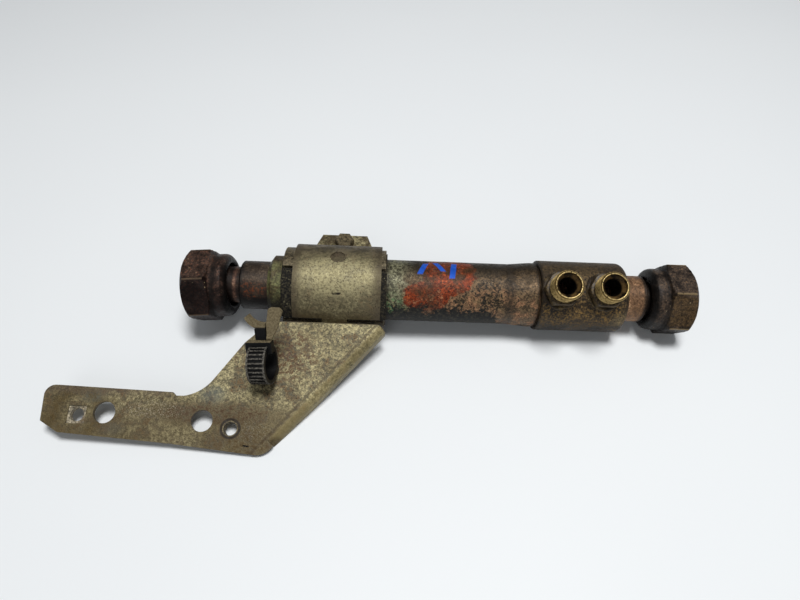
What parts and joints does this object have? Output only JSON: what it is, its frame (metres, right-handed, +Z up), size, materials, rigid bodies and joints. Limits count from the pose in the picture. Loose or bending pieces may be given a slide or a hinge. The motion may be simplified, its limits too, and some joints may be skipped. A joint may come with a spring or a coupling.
{
  "type": "in-line fuel cooler",
  "caption": "Tubular heat exchanger with a fuel jacket around a refrigerant tube, captive union nuts, two threaded fuel unions and a clamped sheet-metal bracket with a cable clip.",
  "frame": {"origin": "centre of the outlet union nut's mouth, on the tube's axis", "axes": "+X along the tube's axis and out of the outlet nut, +Z up, -Y towards the bracket's arm"},
  "size_m": [0.3428, 0.1326, 0.0602],
  "materials": {
    "jacket": "oxidised, stained",
    "sleeve": "grimy",
    "collar": "oxidised",
    "copper": "dull",
    "fin": "plain",
    "union_brass": "machined, stained",
    "bracket": "zinc plated, dirty",
    "fastener": "zinc plated, dirty",
    "ring_steel": "dull",
    "nut_rust": "rusty",
    "nut_dark": "dark with worn edges",
    "rubber": "matte",
    "clip_plastic": "moulded, dusty"
  },
  "bodies": {
    "cooler": {"outer_tube": "jacket", "port_sleeve": "sleeve", "inlet_end_collar": "collar", "outlet_end_collar": "copper", "inner_tube": "copper", "fin_core": "fin", "divider_ring": "fin", "fuel_inlet_union": "union_brass", "fuel_outlet_union": "union_brass", "mounting_bracket": "bracket", "clamp_strap": "bracket", "clamp_rubber": "rubber", "clamp_bolt": "fastener", "clamp_washer": "fastener", "clamp_nut": "fastener", "weld_nut": "fastener", "arm_clip_nut": "fastener"},
    "inlet_ring": {"inlet_thrust_ring": "ring_steel"},
    "inlet_nut": {"inlet_union_nut": "nut_rust"},
    "outlet_ring": {"outlet_thrust_ring": "ring_steel"},
    "outlet_nut": {"outlet_union_nut": "nut_dark"},
    "clip": {"clip_foot": "clip_plastic", "clip_strap": "clip_plastic", "clip_head": "clip_plastic"},
    "paddle": {"clip_paddle": "clip_plastic"}
  },
  "joints": [
    {"name": "inlet_ring_slide", "type": "slide", "parent": "cooler", "child": "inlet_ring", "axis": [1, 0, 0], "range_m": [0, 0.0016]},
    {"name": "inlet_nut_spin", "type": "hinge", "parent": "inlet_ring", "child": "inlet_nut", "pos_m": [-0.256, 0, -0.0004], "axis": [-0.9936, 0, -0.1132], "continuous": true},
    {"name": "outlet_ring_slide", "type": "slide", "parent": "cooler", "child": "outlet_ring", "axis": [1, 0, 0], "range_m": [-0.0012, 0.0022]},
    {"name": "outlet_nut_spin", "type": "hinge", "parent": "outlet_ring", "child": "outlet_nut", "pos_m": [-0.012, 0, 0], "axis": [1, 0, 0], "continuous": true},
    {"name": "clip_swivel", "type": "hinge", "parent": "cooler", "child": "clip", "pos_m": [-0.2304, -0.04953, -0.00979], "axis": [0, -0.3256, 0.9455], "continuous": true},
    {"name": "paddle_release", "type": "hinge", "parent": "clip", "child": "paddle", "pos_m": [-0.22769, -0.04514, 0.01317], "axis": [0.9848, -0.0565, 0.1642], "range_deg": [-12, 0], "stiffness_Nm_per_rad": 0.03}
  ]
}
